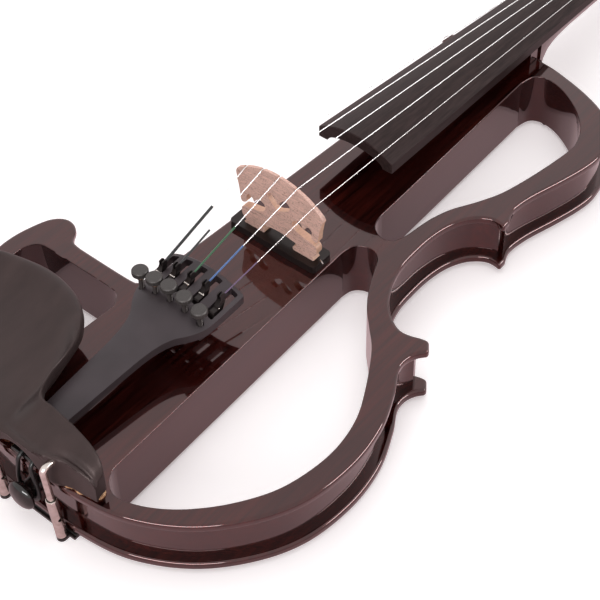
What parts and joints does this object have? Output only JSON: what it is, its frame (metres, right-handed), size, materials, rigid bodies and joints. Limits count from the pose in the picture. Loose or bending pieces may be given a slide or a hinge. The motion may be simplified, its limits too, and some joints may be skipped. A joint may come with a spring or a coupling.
{
  "type": "electric violin",
  "caption": "Electric violin with a flat cut-out lacquered body, arched fingerboard, tailpiece with built-in fine tuners, over-tail chinrest, bridge pickup and side controls",
  "frame": {"origin": "on the flat back, under the middle of the bridge", "axes": "+Y runs along the strings from the bridge to the scroll, +Z rises out of the top, +X points to the treble side"},
  "size_m": [0.2083, 0.5974, 0.0772],
  "materials": {
    "lacquer": "dark mahogany lacquer, high gloss",
    "ebony": "dark close-grained wood, satin",
    "composite": "black composite, matte",
    "plastic": "black plastic",
    "maple": "flecked maple, unvarnished",
    "steel": "plain and wound steel strings, silk at the ends",
    "knob": "blackened metal",
    "nickel": "nickel plate",
    "cork": "cork sheet",
    "circuit": "glass-epoxy laminate with its parts",
    "battery": "painted can",
    "cord": "plain black"
  },
  "bodies": {
    "instrument": {"top_plate": "lacquer", "back_plate": "lacquer", "center_block": "lacquer", "treble_ribs": "lacquer", "bass_ribs": "lacquer", "neck": "lacquer", "fingerboard": "ebony", "nut": "ebony", "saddle": "ebony", "bridge": "maple", "pickup_plate": "plastic", "tailpiece": "composite", "tailgut": "cord", "end_button": "ebony", "chinrest": "composite", "chinrest_cork_bass": "cork", "chinrest_cork_treble": "cork", "clamp_rod_bass": "nickel", "clamp_rod_treble": "nickel", "clamp_foot": "ebony", "clamp_foot_cork": "cork", "control_panel": "plastic", "volume_pot": "nickel", "tone_pot": "nickel", "power_switch_body": "nickel", "output_jack": "nickel", "headphone_jack": "nickel", "preamp_board": "circuit", "control_cover": "plastic", "cover_screw_1": "nickel", "cover_screw_2": "nickel", "pickup_lead": "cord", "string_c": "steel", "string_g": "steel", "string_d": "steel", "string_a": "steel", "string_e": "steel"},
    "peg_c_body": {"peg_c": "ebony"},
    "peg_g_body": {"peg_g": "ebony"},
    "peg_d_body": {"peg_d": "ebony"},
    "peg_a_body": {"peg_a": "ebony"},
    "peg_e_body": {"peg_e": "ebony"},
    "tuner_screw_c_body": {"tuner_screw_c": "knob"},
    "tuner_lever_c_body": {"tuner_lever_c": "plastic"},
    "tuner_screw_g_body": {"tuner_screw_g": "knob"},
    "tuner_lever_g_body": {"tuner_lever_g": "plastic"},
    "tuner_screw_d_body": {"tuner_screw_d": "knob"},
    "tuner_lever_d_body": {"tuner_lever_d": "plastic"},
    "tuner_screw_a_body": {"tuner_screw_a": "knob"},
    "tuner_lever_a_body": {"tuner_lever_a": "plastic"},
    "tuner_screw_e_body": {"tuner_screw_e": "knob"},
    "tuner_lever_e_body": {"tuner_lever_e": "plastic"},
    "clamp_barrel_bass_body": {"clamp_barrel_bass": "nickel"},
    "clamp_barrel_treble_body": {"clamp_barrel_treble": "nickel"},
    "volume_knob_body": {"volume_knob": "plastic"},
    "tone_knob_body": {"tone_knob": "plastic"},
    "power_switch_slider_body": {"power_switch_slider": "steel"},
    "battery_tray_body": {"battery_tray": "plastic", "battery": "battery"}
  },
  "joints": [
    {"name": "peg_c_turn", "type": "hinge", "parent": "instrument", "child": "peg_c_body", "pos_m": [0, 0.3418, 0.02168], "axis": [1, 0, 0], "continuous": true},
    {"name": "peg_g_turn", "type": "hinge", "parent": "instrument", "child": "peg_g_body", "pos_m": [0, 0.3648, 0.01646], "axis": [1, 0, 0], "continuous": true},
    {"name": "peg_d_turn", "type": "hinge", "parent": "instrument", "child": "peg_d_body", "pos_m": [0, 0.3878, 0.01123], "axis": [1, 0, 0], "continuous": true},
    {"name": "peg_a_turn", "type": "hinge", "parent": "instrument", "child": "peg_a_body", "pos_m": [0, 0.3763, 0.01384], "axis": [1, 0, 0], "continuous": true},
    {"name": "peg_e_turn", "type": "hinge", "parent": "instrument", "child": "peg_e_body", "pos_m": [0, 0.3533, 0.01907], "axis": [1, 0, 0], "continuous": true},
    {"name": "tuner_screw_c_drive", "type": "slide", "parent": "instrument", "child": "tuner_screw_c_body", "axis": [0, 0, -1], "range_m": [0, 0.0035]},
    {"name": "tuner_lever_c_rock", "type": "hinge", "parent": "instrument", "child": "tuner_lever_c_body", "pos_m": [-0.0175, -0.0658, 0.04908], "axis": [1, 0, 0], "range_deg": [0, 26]},
    {"name": "tuner_screw_g_drive", "type": "slide", "parent": "instrument", "child": "tuner_screw_g_body", "axis": [0, 0, -1], "range_m": [0, 0.0035]},
    {"name": "tuner_lever_g_rock", "type": "hinge", "parent": "instrument", "child": "tuner_lever_g_body", "pos_m": [-0.0089, -0.0658, 0.05195], "axis": [1, 0, 0], "range_deg": [0, 26]},
    {"name": "tuner_screw_d_drive", "type": "slide", "parent": "instrument", "child": "tuner_screw_d_body", "axis": [0, 0, -1], "range_m": [0, 0.0035]},
    {"name": "tuner_lever_d_rock", "type": "hinge", "parent": "instrument", "child": "tuner_lever_d_body", "pos_m": [-0.0003, -0.0658, 0.0529], "axis": [1, 0, 0], "range_deg": [0, 26]},
    {"name": "tuner_screw_a_drive", "type": "slide", "parent": "instrument", "child": "tuner_screw_a_body", "axis": [0, 0, -1], "range_m": [0, 0.0035]},
    {"name": "tuner_lever_a_rock", "type": "hinge", "parent": "instrument", "child": "tuner_lever_a_body", "pos_m": [0.0083, -0.0658, 0.05208], "axis": [1, 0, 0], "range_deg": [0, 26]},
    {"name": "tuner_screw_e_drive", "type": "slide", "parent": "instrument", "child": "tuner_screw_e_body", "axis": [0, 0, -1], "range_m": [0, 0.0035]},
    {"name": "tuner_lever_e_rock", "type": "hinge", "parent": "instrument", "child": "tuner_lever_e_body", "pos_m": [0.0169, -0.0658, 0.04935], "axis": [1, 0, 0], "range_deg": [0, 26]},
    {"name": "clamp_barrel_bass_turn", "type": "hinge", "parent": "instrument", "child": "clamp_barrel_bass_body", "pos_m": [-0.01709, -0.16493, 0.0122], "axis": [0.0175, -0.0438, 0.9989], "continuous": true},
    {"name": "clamp_barrel_treble_turn", "type": "hinge", "parent": "instrument", "child": "clamp_barrel_treble_body", "pos_m": [0.01709, -0.16493, 0.0122], "axis": [-0.0175, -0.0438, 0.9989], "continuous": true},
    {"name": "volume_knob_turn", "type": "hinge", "parent": "instrument", "child": "volume_knob_body", "pos_m": [-0.02887, 0.02696, 0.0155], "axis": [-0.9986, 0.0531, 0], "range_deg": [-300, 0]},
    {"name": "tone_knob_turn", "type": "hinge", "parent": "instrument", "child": "tone_knob_body", "pos_m": [-0.0277, 0.04893, 0.0155], "axis": [-0.9986, 0.0531, 0], "range_deg": [-300, 0]},
    {"name": "power_switch_slide", "type": "slide", "parent": "instrument", "child": "power_switch_slider_body", "axis": [0.0531, 0.9986, 0], "range_m": [0, 0.004]},
    {"name": "battery_tray_slide", "type": "slide", "parent": "instrument", "child": "battery_tray_body", "axis": [-0.9986, 0.0531, 0], "range_m": [0, 0.026]}
  ],
  "couplings": [
    {"joint": "tuner_lever_c_rock", "follows": "tuner_screw_c_drive", "rad_per_m": 125},
    {"joint": "tuner_lever_g_rock", "follows": "tuner_screw_g_drive", "rad_per_m": 125},
    {"joint": "tuner_lever_d_rock", "follows": "tuner_screw_d_drive", "rad_per_m": 125},
    {"joint": "tuner_lever_a_rock", "follows": "tuner_screw_a_drive", "rad_per_m": 125},
    {"joint": "tuner_lever_e_rock", "follows": "tuner_screw_e_drive", "rad_per_m": 125}
  ]
}
